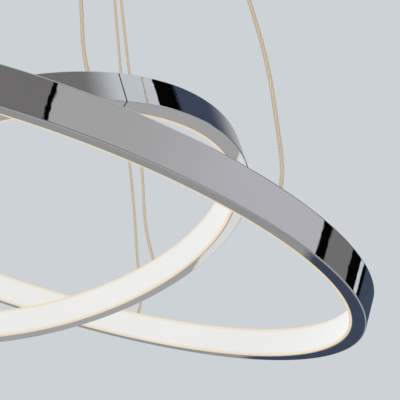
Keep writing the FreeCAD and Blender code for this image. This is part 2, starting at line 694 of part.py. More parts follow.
save_canopy()
save_grippers()
save_ring("large_ring", LARGE_DIAMETER / 2.0, LARGE_TILT, LARGE_SEAM_ANGLE, LARGE_CABLE_ANGLES)
save_ring("small_ring", SMALL_DIAMETER / 2.0, SMALL_TILT, SMALL_SEAM_ANGLE, SMALL_CABLE_ANGLES)
save_cables("large_ring", LARGE_DIAMETER / 2.0, LARGE_TILT, LARGE_CABLE_ANGLES, LARGE_GRIP_RADIUS,
            LARGE_CABLE_BENDS)
save_cables("small_ring", SMALL_DIAMETER / 2.0, SMALL_TILT, SMALL_CABLE_ANGLES, SMALL_GRIP_RADIUS,
            SMALL_CABLE_BENDS)
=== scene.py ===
import json
import logging
import math
from dataclasses import dataclass, field
from enum import Enum
from typing import Any, Iterable, Optional, Sequence, Union

import bmesh
import bpy
import numpy as np
from mathutils import Matrix, Vector

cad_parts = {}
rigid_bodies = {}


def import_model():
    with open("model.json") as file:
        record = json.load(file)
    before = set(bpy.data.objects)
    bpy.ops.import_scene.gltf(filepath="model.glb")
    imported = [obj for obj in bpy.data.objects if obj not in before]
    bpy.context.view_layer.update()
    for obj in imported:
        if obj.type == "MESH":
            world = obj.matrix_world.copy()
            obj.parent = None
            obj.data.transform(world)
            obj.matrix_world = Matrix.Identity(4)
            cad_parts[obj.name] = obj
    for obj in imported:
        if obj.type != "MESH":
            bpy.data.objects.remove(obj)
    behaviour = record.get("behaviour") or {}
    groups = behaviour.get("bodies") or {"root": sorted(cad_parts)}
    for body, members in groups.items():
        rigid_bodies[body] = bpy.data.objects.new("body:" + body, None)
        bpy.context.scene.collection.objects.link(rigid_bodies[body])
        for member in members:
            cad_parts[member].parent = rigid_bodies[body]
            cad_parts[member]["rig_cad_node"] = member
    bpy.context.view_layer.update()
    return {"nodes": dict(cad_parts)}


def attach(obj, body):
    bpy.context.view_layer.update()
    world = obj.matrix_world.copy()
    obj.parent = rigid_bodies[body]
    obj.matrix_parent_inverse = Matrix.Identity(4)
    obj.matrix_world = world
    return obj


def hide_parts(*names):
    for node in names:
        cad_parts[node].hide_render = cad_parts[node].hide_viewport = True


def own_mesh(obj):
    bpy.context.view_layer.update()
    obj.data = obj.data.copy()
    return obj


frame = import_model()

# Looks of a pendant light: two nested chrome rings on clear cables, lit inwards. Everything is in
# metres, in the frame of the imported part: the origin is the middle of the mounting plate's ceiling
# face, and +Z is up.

log = logging.getLogger("ring_light")

DROP = 0.680              # ceiling to the shared centre of both rings
BAND_HEIGHT = 0.028
BAND_DEPTH = 0.014
JAW_TOP = -0.0432         # where the grippers hold the cables
SLEEVE_MOUTH = -0.062

Colour = tuple[float, float, float]
Point = tuple[float, float, float]
Band = tuple[float, float]            # where a smooth step starts and where it ends
Number = Union[float, "Value"]


def linear(red: int, green: int, blue: int) -> Colour:
    """Turn a display colour of 0 to 255 into scene light.

    Args:
        red: Red part.
        green: Green part.
        blue: Blue part.

    Returns:
        The linear colour.
    """
    shown = np.array((red, green, blue)) / 255.0
    light = np.where(shown <= 0.04045, shown / 12.92, ((shown + 0.055) / 1.055) ** 2.4)
    return tuple(float(part) for part in light)


# ---- shader building ---------------------------------------------------------------------------
class Value:
    """A number worked out in a shader; arithmetic on it adds Math nodes."""

    def __init__(self, nodes: "Nodes", socket: bpy.types.NodeSocket) -> None:
        """Wrap one output socket.

        Args:
            nodes: The builder of the tree that the socket is in.
            socket: The output socket.
        """
        self.nodes = nodes
        self.socket = socket

    def math(self, operation: str, *inputs: Number) -> "Value":
        """Add one Math node.

        Args:
            operation: The node's operation.
            inputs: Its inputs, in order.

        Returns:
            Its result.
        """
        node = self.nodes.add("ShaderNodeMath", {"operation": operation}, dict(enumerate(inputs)))
        return Value(self.nodes, node.outputs[0])

    def __add__(self, other: Number) -> "Value":
        """Sum."""
        return self.math("ADD", self, other)

    __radd__ = __add__

    def __sub__(self, other: Number) -> "Value":
        """Difference."""
        return self.math("SUBTRACT", self, other)

    def __rsub__(self, other: Number) -> "Value":
        """Difference, the other way round."""
        return self.math("SUBTRACT", other, self)

    def __mul__(self, other: Number) -> "Value":
        """Product."""
        return self.math("MULTIPLY", self, other)

    __rmul__ = __mul__

    def __truediv__(self, other: Number) -> "Value":
        """Quotient."""
        return self.math("DIVIDE", self, other)

    def __rtruediv__(self, other: Number) -> "Value":
        """Quotient, the other way round."""
        return self.math("DIVIDE", other, self)

    def __abs__(self) -> "Value":
        """Size without sign."""
        return self.math("ABSOLUTE", self)

    def sine(self) -> "Value":
        """Sine, in radians."""
        return self.math("SINE", self)

    def bearing(self, across: "Value") -> "Value":
        """Angle of (across, self) about the axis, in radians."""
        return self.math("ARCTAN2", self, across)

    def root(self) -> "Value":
        """Square root."""
        return self.math("SQRT", self)

    def largest(self, other: Number) -> "Value":
        """The larger of two values."""
        return self.math("MAXIMUM", self, other)

    def ramped(self, low: float, high: float) -> "Value":
        """Smooth step from 0 at low to 1 at high.

        Args:
            low: Where it starts.
            high: Where it ends.

        Returns:
            The stepped value.
        """
        node = self.nodes.add(
            "ShaderNodeMapRange", {"interpolation_type": "SMOOTHSTEP"},
            {"Value": self, "From Min": low, "From Max": high},
        )
        return Value(self.nodes, node.outputs[0])


class Nodes:
    """Builds one node tree."""

    def __init__(self, tree: bpy.types.NodeTree) -> None:
        """Empty the tree.

        Args:
            tree: The tree of a material or a world.
        """
        self.tree = tree
        tree.nodes.clear()

    def add(self, kind: str, settings: Optional[dict[str, Any]] = None,
            sockets: Optional[dict[Any, Any]] = None) -> bpy.types.Node:
        """Add one node, set it up, then fill or link its inputs.

        Args:
            kind: The node's type.
            settings: Its properties.
            sockets: Values, sockets or Value objects by input name or number.

        Returns:
            The node.
        """
        node = self.tree.nodes.new(kind)
        for key, setting in (settings or {}).items():
            setattr(node, key, setting)
        for key, entry in (sockets or {}).items():
            link = entry.socket if isinstance(entry, Value) else entry
            if isinstance(link, bpy.types.NodeSocket):
                self.tree.links.new(link, node.inputs[key])
            elif isinstance(entry, tuple) and len(entry) == 3 and node.inputs[key].type == "RGBA":
                node.inputs[key].default_value = (*entry, 1.0)
            else:
                node.inputs[key].default_value = entry
        return node

    def value(self, node: bpy.types.Node, output: Union[int, str] = 0) -> Value:
        """One output of a node as a Value."""
        return Value(self, node.outputs[output])

    def noise(self, scale: float, detail: float = 2.0, where: Any = None) -> Value:
        """Cloudy noise of 0 to 1 on Object coordinates.

        Args:
            scale: Features per metre.
            detail: Octaves.
            where: Another vector to read instead.

        Returns:
            The noise.
        """
        place = where or self.add("ShaderNodeTexCoord").outputs["Object"]
        sockets = {"Vector": place, "Scale": scale, "Detail": detail}
        node = self.add("ShaderNodeTexNoise", None, sockets)
        return self.value(node, 0)

    def stretched(self, scale: Point) -> bpy.types.NodeSocket:
        """Object coordinates stretched along each axis."""
        place = self.add("ShaderNodeTexCoord").outputs["Object"]
        return self.add("ShaderNodeMapping", None, {"Vector": place, "Scale": scale}).outputs[0]

    def mixed(self, share: Number, first: Any, second: Any) -> bpy.types.NodeSocket:
        """Colour between two.

        Args:
            share: 0 gives the first, 1 the second.
            first: Colour or socket.
            second: Colour or socket.

        Returns:
            The mixed colour's socket.
        """
        node = self.add("ShaderNodeMix", {"data_type": "RGBA"}, {0: share, 6: first, 7: second})
        return node.outputs[2]

    def bump(self, height: Value, distance: float) -> bpy.types.NodeSocket:
        """Normal of a small relief.

        Args:
            height: The relief, 0 to 1.
            distance: Its depth, in metres.

        Returns:
            The normal's socket.
        """
        node = self.add("ShaderNodeBump", None, {"Height": height, "Distance": distance})
        return node.outputs[0]

    def surface(self, sockets: dict[str, Any]) -> None:
        """Principled shader to the material's output."""
        shader = self.add("ShaderNodeBsdfPrincipled", None, sockets)
        self.add("ShaderNodeOutputMaterial", None, {"Surface": shader.outputs[0]})


# ---- finishes ----------------------------------------------------------------------------------
@dataclass(frozen=True)
class Metal:
    """Plated or bare metal: its colour, its gloss and its grain, all on Object coordinates."""

    name: str
    colour: Colour
    darker: Colour
    roughness: float
    drift: float                          # how far the roughness wanders
    cloud: float                          # clouds per metre
    grain: Point = (1.0, 1.0, 1.0)        # stretch of the fine grain
    grain_scale: float = 900.0
    grain_depth: float = 0.0
    darkening: Band = (0.35, 0.75)        # clouds over which the colour goes darker

    def material(self) -> bpy.types.Material:
        """Build it."""
        made = bpy.data.materials.new(self.name + "_finish")
        made.use_nodes = True
        nodes = Nodes(made.node_tree)
        clouds = nodes.noise(self.cloud, 3.0)
        sockets = {
            "Metallic": 1.0,
            "Base Color": nodes.mixed(clouds.ramped(*self.darkening), self.colour, self.darker),
            "Roughness": self.roughness + self.drift * (clouds - 0.5),
        }
        if self.grain_depth:
            grain = nodes.noise(self.grain_scale, 2.0, nodes.stretched(self.grain))
            sockets["Normal"] = nodes.bump(grain, self.grain_depth)
        nodes.surface(sockets)
        return made


@dataclass(frozen=True)
class Moulded:
    """Moulded or coated plastic with a fine cast texture."""

    name: str
    colour: Colour
    shaded: Colour
    roughness: float
    texture_scale: float = 1400.0
    texture_depth: float = 0.00004
    transmission: float = 0.0
    shading: Band = (0.3, 0.8)            # clouds over which the colour goes shaded
    drift: float = 0.08                   # how far the roughness wanders

    def material(self) -> bpy.types.Material:
        """Build it."""
        made = bpy.data.materials.new(self.name + "_finish")
        made.use_nodes = True
        nodes = Nodes(made.node_tree)
        clouds = nodes.noise(25.0, 2.0)
        texture = nodes.noise(self.texture_scale, 3.0)
        nodes.surface({
            "Base Color": nodes.mixed(clouds.ramped(*self.shading), self.colour, self.shaded),
            "Roughness": self.roughness + self.drift * (texture - 0.5),
            "Transmission Weight": self.transmission,
            "Normal": nodes.bump(texture, self.texture_depth),
        })
        return made


@dataclass(frozen=True)
class LitOpal:
    """Opal cover lit from behind: even white across the face, warm along its two edges."""

    name: str
    body: Colour
    middle: Colour
    edge: Colour
    glow: float
    roughness: float = 0.42
    warming: Band = (0.70, 1.02)          # distance from the middle over which it goes warm

    def material(self) -> bpy.types.Material:
        """Build it. The piece's UV runs across the face in its second coordinate."""
        made = bpy.data.materials.new(self.name + "_finish")
        made.use_nodes = True
        nodes = Nodes(made.node_tree)
        place = nodes.add("ShaderNodeTexCoord").outputs["UV"]
        parts = nodes.add("ShaderNodeSeparateXYZ", None, {0: place})
        across = abs(nodes.value(parts, "Y") * 2.0 - 1.0)
        pattern = nodes.noise(60.0, 2.0)
        light = nodes.mixed(across.ramped(*self.warming), self.middle, self.edge)
        nodes.surface({
            "Base Color": nodes.mixed(pattern, self.body, tuple(0.96 * part for part in self.body)),
            "Roughness": self.roughness + 0.06 * (pattern - 0.5),
            "Emission Color": light,
            "Emission Strength": self.glow,
        })
        return made


@dataclass(frozen=True)
class ClearSheath:
    """Clear soft sheath of a cable."""

    name: str
    tint: Colour
    roughness: float
    middle: float                         # how much shows of it, seen square on
    edge: float                           # and at its edges

    def material(self) -> bpy.types.Material:
        """Build it."""
        made = bpy.data.materials.new(self.name + "_finish")
        made.use_nodes = True
        nodes = Nodes(made.node_tree)
        haze = nodes.noise(90.0, 2.0)
        facing = nodes.value(nodes.add("ShaderNodeLayerWeight", None, {"Blend": 0.5}), "Facing")
        nodes.surface({
            "Base Color": nodes.mixed(haze, self.tint, tuple(0.94 * part for part in self.tint)),
            "Roughness": self.roughness + 0.03 * (haze - 0.5),
            "IOR": 1.45,
            "Alpha": self.middle + (self.edge - self.middle) * facing * facing,
        })
        return made


@dataclass(frozen=True)
class Strands:
    """Twisted golden strands, drawn on the piece's UV: metres along and turns round; the grooves
    between them get painted shade.
    """

    name: str
    bright: Colour
    groove_shade: Colour
    roughness: float
    strands: int
    lay: float                            # length of one full twist
    relief: float = 0.0001

    def material(self) -> bpy.types.Material:
        """Build it: a strand's crown is where the sine of its winding angle is high, and away from
        it the colour falls to the painted groove shade.
        """
        made = bpy.data.materials.new(self.name + "_finish")
        made.use_nodes = True
        nodes = Nodes(made.node_tree)
        place = nodes.add("ShaderNodeTexCoord").outputs["UV"]
        parts = nodes.add("ShaderNodeSeparateXYZ", None, {0: place})
        turns = nodes.value(parts, "X") / self.lay + nodes.value(parts, "Y")
        crown = (turns * (2.0 * math.pi * self.strands)).sine() * 0.5 + 0.5
        nodes.surface({
            "Base Color": nodes.mixed(crown.ramped(0.0, 0.6), self.groove_shade, self.bright),
            "Metallic": 0.1,
            "Roughness": self.roughness + 0.1 * (1 - crown),
            "Normal": nodes.bump(crown, self.relief),
        })
        return made


class Finish(Enum):
    """Every finish of the object, by the record's material slot."""

    RING_CHROME = Metal("ring_chrome", (0.82, 0.82, 0.83), (0.79, 0.79, 0.805), roughness=0.012,
                        drift=0.008, cloud=9.0, grain_scale=75.0, grain_depth=0.00006)
    CANOPY_CHROME = Metal("canopy_chrome", (0.80, 0.80, 0.82), (0.77, 0.77, 0.79), roughness=0.05,
                          drift=0.04, cloud=14.0)
    LIT_DIFFUSER = LitOpal("lit_diffuser", (0.23, 0.225, 0.215), middle=(1.0, 1.0, 0.985),
                           edge=(1.0, 0.80, 0.52), glow=0.66)
    STRIP_WHITE = Moulded("strip_white", (0.86, 0.86, 0.84), (0.80, 0.80, 0.78), roughness=0.45)
    CHIP_PHOSPHOR = Moulded("chip_phosphor", (0.93, 0.76, 0.26), (0.86, 0.66, 0.20), roughness=0.3)
    PLAIN_STEEL = Metal("plain_steel", (0.58, 0.58, 0.59), (0.50, 0.50, 0.51), roughness=0.32,
                        drift=0.14, cloud=120.0, grain=(1.0, 1.0, 12.0), grain_scale=500.0,
                        grain_depth=0.00003)
    # Black for the seam plates and for the splices seen through the seams: painted shade in the butt
    # seams.
    SEAM_SHADE = Metal("seam_shade", (0.05, 0.05, 0.05), (0.03, 0.03, 0.03), roughness=0.45,
                       drift=0.1, cloud=60.0)
    ZINC_STEEL = Metal("zinc_steel", (0.64, 0.65, 0.67), (0.54, 0.56, 0.60), roughness=0.36,
                       drift=0.2, cloud=45.0, grain=(1.0, 14.0, 1.0), grain_scale=260.0,
                       grain_depth=0.00003)
    NICKEL_BRASS = Metal("nickel_brass", (0.76, 0.72, 0.62), (0.66, 0.61, 0.50), roughness=0.2,
                         drift=0.1, cloud=150.0, grain=(1.0, 1.0, 6.0), grain_scale=700.0,
                         grain_depth=0.00002)
    DRIVER_WHITE = Moulded("driver_white", (0.80, 0.80, 0.78), (0.74, 0.74, 0.72), roughness=0.55,
                           texture_scale=1100.0, texture_depth=0.00008)
    TERMINAL_CLEAR = Moulded("terminal_clear", (0.82, 0.82, 0.78), (0.74, 0.74, 0.70),
                             roughness=0.35, texture_scale=900.0, texture_depth=0.00002,
                             transmission=0.35)
    CLEAR_CABLE = ClearSheath("clear_cable", (0.46, 0.33, 0.19), roughness=0.08, middle=0.08,
                              edge=0.95)
    # The second colour is painted shade in the grooves between the strands.
    CABLE_STRANDS = Strands("clear_cable_strands", (0.98, 0.82, 0.56), (0.88, 0.68, 0.42),
                            roughness=0.38, strands=3, lay=0.030)

    def on(self, piece: bpy.types.Object, slot: str = "") -> None:
        """Give a piece this finish.

        Args:
            piece: The piece.
            slot: The record's slot, if it isn't the finish's own name; not used.
        """
        made = bpy.data.materials.get(self.value.name + "_finish") or self.value.material()
        piece.data.materials.clear()
        piece.data.materials.append(made)


# ---- surfaces ----------------------------------------------------------------------------------
def signed_volume(points: np.ndarray, quads: np.ndarray) -> float:
    """Six times the volume inside a closed skin: the sum of p0 . (p1 x p2) over its triangles."""
    first, second, third, fourth = (points[quads[:, n]] for n in range(4))
    return float((first * (np.cross(second, third) + np.cross(third, fourth))).sum())


def skin(name: str, points: np.ndarray, along: np.ndarray, across: np.ndarray,
         closed: bool) -> bpy.types.Object:
    """A closed skin through a grid whose columns run round a section.

    Rows follow the path; each row's columns close on themselves. Rows either close on themselves
    too, or end in a flat cap. The mesh's UV is (along, across).

    Args:
        name: The piece's name.
        points: Grid of shape (rows, columns, 3).
        along: First texture coordinate of each row, and of the first row again if closed.
        across: Second texture coordinate of each column, and of the first column again.
        closed: Whether the rows close on themselves.

    Returns:
        The new object, in the scene.
    """
    rows, columns = points.shape[:2]
    spans = rows if closed else rows - 1
    row, column = np.meshgrid(np.arange(spans), np.arange(columns), indexing="ij")
    after, beside = (row + 1) % rows, (column + 1) % columns
    quads = np.stack([row * columns + column, row * columns + beside,
                      after * columns + beside, after * columns + column], axis=-1).reshape(-1, 4)
    corner_u = np.stack([along[row], along[row], along[row + 1], along[row + 1]],
                        axis=-1).reshape(-1, 4)
    corner_v = np.stack([across[column], across[column + 1], across[column + 1], across[column]],
                        axis=-1).reshape(-1, 4)
    flat = points.reshape(-1, 3)
    turned = signed_volume(flat - flat.mean(axis=0), quads) < 0
    order = slice(None, None, -1) if turned else slice(None)
    faces = quads[:, order].tolist()
    texture = np.stack([corner_u[:, order], corner_v[:, order]], axis=-1).reshape(-1, 2)
    if not closed:
        ends = [np.arange(columns)[::-1], np.arange(columns) + (rows - 1) * columns]
        faces += [end[order].tolist() for end in ends]
        texture = np.concatenate([texture, np.zeros((2 * columns, 2))])
    mesh = bpy.data.meshes.new(name)
    mesh.from_pydata(flat.tolist(), [], faces)
    mesh.uv_layers.new(name="UVMap").data.foreach_set("uv", texture.ravel())
    return shown(name, mesh)


def shown(name: str, mesh: bpy.types.Mesh, sharp: float = 30.0) -> bpy.types.Object:
    """Put a mesh into the scene as a smooth piece with sharp edges by angle.

    Args:
        name: The piece's name.
        mesh: Its mesh.
        sharp: Edges over this angle, in degrees, stay sharp.

    Returns:
        The object.
    """
    mesh.polygons.foreach_set("use_smooth", np.ones(len(mesh.polygons), bool))
    mesh.set_sharp_from_angle(angle=math.radians(sharp))
    mesh.update()
    piece = bpy.data.objects.new(name, mesh)
    bpy.context.scene.collection.objects.link(piece)
    return piece


def even_normals(piece: bpy.types.Object) -> None:
    """Let the large faces set the normals, so that flats stay flat beside small rounds."""
    weighted = piece.modifiers.new("even_normals", "WEIGHTED_NORMAL")
    weighted.keep_sharp = True


def rounded_outline(corners: Sequence[Sequence[float]], steps: int = 6) -> np.ndarray:
    """Closed outline from (radius, height) corners; a third value rounds a square corner.

    A rounded corner is the quarter circle centre + r (into sin a - out cos a) for a from 0 to 90
    degrees, where into and out are the directions of the sides before and after it.

    Args:
        corners: The corners in order.
        steps: Steps of each rounding.

    Returns:
        Array of (radius, height).
    """
    sweep = np.linspace(0.0, math.pi / 2.0, steps + 1)[:, None]
    pieces = []
    for index, corner in enumerate(corners):
        here = np.array(corner[:2])
        if len(corner) == 2:
            pieces.append(here[None, :])
            continue
        into = here - np.array(corners[index - 1][:2])
        out = np.array(corners[(index + 1) % len(corners)][:2]) - here
        into, out = into / np.linalg.norm(into), out / np.linalg.norm(out)
        centre = here + (out - into) * corner[2]
        pieces.append(centre + corner[2] * (into * np.sin(sweep) - out * np.cos(sweep)))
    return np.concatenate(pieces)


def outline_lengths(outline: np.ndarray) -> np.ndarray:
    """Running length round a closed outline, back to its start."""
    steps = np.linalg.norm(np.roll(outline, -1, axis=0) - outline, axis=1)
    return np.concatenate([[0.0], np.cumsum(steps)])


def revolved(outline: np.ndarray, angles: np.ndarray) -> np.ndarray:
    """Grid of an outline swept about Z: (r cos a, r sin a, h)."""
    radius, height = outline[:, 0], outline[:, 1]
    return np.stack([np.cos(angles)[:, None] * radius, np.sin(angles)[:, None] * radius,
                     np.broadcast_to(height, (len(angles), len(height)))], axis=-1)


def full_turn(steps: int) -> np.ndarray:
    """Angles once round, without the last."""
    return np.linspace(0.0, 2.0 * math.pi, steps, endpoint=False)


def tube(name: str, path: np.ndarray, radius: float, sides: int = 16) -> bpy.types.Object:
    """Round tube along a path: p + r (s cos a + u sin a), with s and u square to the path.

    Args:
        name: The piece's name.
        path: Points in order.
        radius: The tube's radius.
        sides: Sides of the tube.

    Returns:
        The closed piece. Its UV is metres along and turns round.
    """
    heading = np.gradient(path, axis=0)
    heading /= np.linalg.norm(heading, axis=1)[:, None]
    side = np.cross(heading, (1.0, 0.0, 0.0))
    side /= np.linalg.norm(side, axis=1)[:, None]
    upper = np.cross(side, heading)
    angles = full_turn(sides)
    ring = side[:, None] * np.cos(angles)[:, None] + upper[:, None] * np.sin(angles)[:, None]
    run = np.concatenate([[0.0], np.cumsum(np.linalg.norm(np.diff(path, axis=0), axis=1))])
    return skin(name, path[:, None] + radius * ring, run, np.linspace(0.0, 1.0, sides + 1), False)


# ---- the light rings ---------------------------------------------------------------------------
@dataclass
class LightRing:
    """One ring of bent channel, with its opal cover, light strip and fittings."""

    name: str
    radius: float
    tilt: float                           # degrees about +Y
    seam: float                           # degrees round the ring
    cable_angles: tuple[float, float, float]
    grip_radius: float                    # its grippers' distance from the canopy's axis
    lift: float                           # travel of its joint
    steps: int = 720
    wall: float = 0.0015
    lip: float = 0.0012
    lip_share: float = 0.9                # share of the lip that its inner end rounds
    edge_round: float = 0.0011
    seam_gap: float = 0.0010
    seam_recess: float = 0.00015
    # The joint plate is a black fill that stands for the seam's shadow: painted shade.
    seam_fill: float = 0.98               # share of the gap that the joint plate fills
    seat_gap: float = 0.00015
    proud: float = 0.0006                 # the cover stands over the lips' ends by this
    cover_wall: float = 0.0018
    cover_round: float = 0.0005
    cover_rows: int = 9                   # extra points up the cover's face, for its shading
    leg: float = 0.0018
    leg_wall: float = 0.001
    ferrule: float = 0.002
    ferrule_bore: float = 0.0015
    ferrule_depth: float = 0.0068
    ferrule_sides: int = 32
    rim_width: float = 0.0006
    rim_height: float = 0.0005
    small_round: float = 0.0002

    def placed(self, points: np.ndarray) -> np.ndarray:
        """Lean flat points about +Y by t and lower them.

        The lean is x' = x cos t + z sin t and z' = z cos t - x sin t.

        Args:
            points: Points with the ring flat about the origin.

        Returns:
            The placed points.
        """
        lean = math.radians(self.tilt)
        x, y, z = np.moveaxis(points, -1, 0)
        return np.stack([x * math.cos(lean) + z * math.sin(lean), y,
                         z * math.cos(lean) - x * math.sin(lean) - DROP], axis=-1)

    def top(self, angle: float, height: float) -> np.ndarray:
        """A point over the middle of the ring's top face.

        Args:
            angle: Degrees round the ring.
            height: Height over the ring's middle plane.

        Returns:
            The placed point.
        """
        turn = math.radians(angle)
        reach = self.radius - BAND_DEPTH / 2.0
        return self.placed(np.array([reach * math.cos(turn), reach * math.sin(turn), height]))

    def section(self, recess: float = 0.0) -> np.ndarray:
        """The channel's C section, with every outer side drawn in.

        Args:
            recess: How far it is drawn in.

        Returns:
            The outline's (radius, height) points.
        """
        half, mouth = BAND_HEIGHT / 2.0 - recess, BAND_HEIGHT / 2.0 - self.lip
        outer, web = self.radius - recess, self.radius - self.wall
        inner = self.radius - BAND_DEPTH - self.proud + self.cover_wall + self.seat_gap + recess
        lip_round = self.lip_share * (half - mouth)
        return rounded_outline([
            (outer, -half, self.edge_round), (outer, half, self.edge_round),
            (inner, half, lip_round), (inner, mouth), (web, mouth), (web, -mouth),
            (inner, -mouth), (inner, -half, lip_round),
        ])

    def make_seam_shade(self) -> bpy.types.Object:
        """Black plate that fills the butt seam a little under the chrome: painted shade for the
        seam's shadow.
        """
        outline = self.section(self.seam_recess)
        reach = self.seam_fill * self.seam_gap / self.radius / 2.0
        angles = math.radians(self.seam) + np.linspace(-reach, reach, 3)
        piece = skin(self.name + "_seam_shade_plate", self.placed(revolved(outline, angles)),
                     angles * self.radius, outline_lengths(outline), False)
        Finish.SEAM_SHADE.on(piece, "plain_steel")
        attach(piece, self.name)
        return piece

    def make_band(self) -> bpy.types.Object:
        """The chrome channel, swept round to its butt seam."""
        outline = self.section()
        half_gap = self.seam_gap / self.radius / 2.0
        sweep = np.linspace(half_gap, 2.0 * math.pi - half_gap, self.steps)
        angles = math.radians(self.seam) + sweep
        piece = skin(self.name + "_band", self.placed(revolved(outline, angles)),
                     angles * self.radius, outline_lengths(outline), False)
        even_normals(piece)
        Finish.RING_CHROME.on(piece)
        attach(piece, self.name)
        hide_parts(self.name + "_profile")
        return piece

    def make_cover(self) -> bpy.types.Object:
        """The opal cover: a flat face over the lips, with two clip legs.

        Its UV runs from 0 to 1 over the height in the second coordinate.

        Returns:
            The cover.
        """
        face = self.radius - BAND_DEPTH - self.proud
        back, half = face + self.cover_wall, BAND_HEIGHT / 2.0
        leg, end = half - self.lip - self.seat_gap, face + self.cover_wall + self.leg
        inside = leg - self.leg_wall
        outline = rounded_outline([
            (face, half, self.cover_round), (back, half, self.small_round),
            (back, leg), (end, leg), (end, inside), (back, inside),
            (back, -inside), (end, -inside), (end, -leg), (back, -leg),
            (back, -half, self.small_round), (face, -half, self.cover_round),
        ], 3)
        rows = np.linspace(-half, half, self.cover_rows + 2)[1:-1]
        outline = np.concatenate([outline, np.stack([np.full(self.cover_rows, face), rows], -1)])
        height = 0.5 + 0.5 * np.append(outline[:, 1], outline[0, 1]) / half
        angles = full_turn(self.steps)
        piece = skin(self.name + "_cover", self.placed(revolved(outline, angles)),
                     np.append(angles, 2.0 * math.pi) * self.radius, height, True)
        even_normals(piece)
        Finish.LIT_DIFFUSER.on(piece)
        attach(piece, self.name)
        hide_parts(self.name + "_diffuser")
        return piece

    def make_ferrules(self) -> bpy.types.Object:
        """Crimped cable ends with a small rolled rim that stands on the ring's top face."""
        half = BAND_HEIGHT / 2.0
        low, rim = half - self.lip - self.ferrule_depth, half + self.rim_height
        bore, wide = self.ferrule_bore, self.ferrule + self.rim_width
        outline = rounded_outline([
            (bore, low), (self.ferrule, low), (self.ferrule, half),
            (wide, half, self.small_round), (wide, rim, self.small_round), (bore, rim),
        ], 4)
        meshes = []
        for angle in self.cable_angles:
            turn = math.radians(angle)
            reach = self.radius - BAND_DEPTH / 2.0
            centre = np.array([reach * math.cos(turn), reach * math.sin(turn), 0.0])
            grid = self.placed(revolved(outline, full_turn(self.ferrule_sides)) + centre)
            shares = np.linspace(0.0, 1.0, self.ferrule_sides + 1)
            lengths = outline_lengths(outline)
            meshes.append(skin(self.name + "_ferrule", grid, shares, lengths, True))
        piece = joined(self.name + "_ferrules", meshes)
        Finish.NICKEL_BRASS.on(piece)
        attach(piece, self.name)
        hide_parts(self.name + "_cable_ferrules")
        return piece

    def dress_inside(self) -> None:
        """Finish the pieces that stay inside the channel."""
        inside = {
            "light_strip": Finish.STRIP_WHITE, "light_chips": Finish.CHIP_PHOSPHOR,
            # the splice behind the seam is black, as painted shade seen through the seam
            "seam_splice": Finish.SEAM_SHADE, "splice_screws": Finish.PLAIN_STEEL,
            "anchor_blocks": Finish.PLAIN_STEEL, "anchor_screws": Finish.PLAIN_STEEL,
        }
        for piece, finish in inside.items():
            finish.on(frame["nodes"][self.name + "_" + piece])

    def build(self) -> None:
        """Make and dress the whole ring."""
        for piece in (self.make_band(), self.make_seam_shade(), self.make_cover(), self.make_ferrules()):
            log.info("%s: %d faces", piece.name, len(piece.data.polygons))
        self.dress_inside()


def joined(name: str, parts: Iterable[bpy.types.Object]) -> bpy.types.Object:
    """One piece from several new ones.

    Args:
        name: The new piece's name.
        parts: The pieces, which are used up.

    Returns:
        The joined piece.
    """
    build = bmesh.new()
    for part in parts:
        build.from_mesh(part.data)
        bpy.data.objects.remove(part)
    mesh = bpy.data.meshes.new(name)
    build.to_mesh(mesh)
    build.free()
    return shown(name, mesh)


# ---- cables ------------------------------------------------------------------------------------
@dataclass
class Cable:
    """One sheathed cable, from its ferrule in a ring to its gripper in the canopy.

    The bends are given: distance from the canopy's axis towards the cable's foot, distance
    aside, and height over the rings' centre.
    """

    number: int
    ring: LightRing
    bends: tuple[Point, ...]
    diameter: float = 0.003
    strand_radius: float = 0.00105
    sheath_sides: int = 18
    strand_sides: int = 12
    exit_run: float = 0.020               # straight out of the ring, square to it
    hang_run: float = 0.024               # straight below the gripper's mouth
    centring: float = 0.11                # keeps the line in the middle of the sleeve's bore

    def route(self) -> np.ndarray:
        """The control points: foot, run square to the ring, bends, and up into the gripper."""
        angle = self.ring.cable_angles[self.number - 1]
        foot = self.ring.top(angle, BAND_HEIGHT / 2.0)
        leave = self.ring.top(angle, BAND_HEIGHT / 2.0 + self.exit_run)
        towards = math.atan2(foot[1], foot[0])
        out = np.array([math.cos(towards), math.sin(towards), 0.0])
        aside = np.array([-math.sin(towards), math.cos(towards), 0.0])
        reach, shift, height = np.array(self.bends).T
        middle = reach[:, None] * out + shift[:, None] * aside
        middle[:, 2] = height - DROP
        grip = self.ring.grip_radius
        drawn_in = self.centring * (reach[-1] - grip)
        mouth = out * (grip - drawn_in) + (0.0, 0.0, SLEEVE_MOUTH - self.hang_run)
        held = out * grip + (0.0, 0.0, JAW_TOP)
        return np.vstack([foot, leave, middle, mouth, held])

    def smooth_path(self) -> np.ndarray:
        """Points read from one NURBS spline that has the route as its control points."""
        route = self.route()
        curve = bpy.data.curves.new("cable_route", "CURVE")
        curve.dimensions = "3D"
        curve.resolution_u = 20
        spline = curve.splines.new("NURBS")
        spline.points.add(len(route) - 1)
        spline.points.foreach_set("co", np.column_stack([route, np.ones(len(route))]).ravel())
        spline.order_u = 3
        spline.use_endpoint_u = True
        holder = bpy.data.objects.new("cable_route", curve)
        mesh = bpy.data.meshes.new_from_object(holder)
        path = np.empty(len(mesh.vertices) * 3)
        mesh.vertices.foreach_get("co", path)
        bpy.data.objects.remove(holder)
        bpy.data.meshes.remove(mesh)
        return path.reshape(-1, 3)

    def build(self) -> None:
        node = f"{self.ring.name}_cable_{self.number}"
        path = self.smooth_path()
        strands = tube(node + "_strands", path, self.strand_radius, self.strand_sides)
        Finish.CABLE_STRANDS.on(strands, "clear_cable")
        sheath = tube(node + "_sheath", path, self.diameter / 2.0, self.sheath_sides)
        Finish.CLEAR_CABLE.on(sheath)
        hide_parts(node)
        for piece in (strands, sheath):
            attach(piece, "canopy")
            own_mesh(piece)


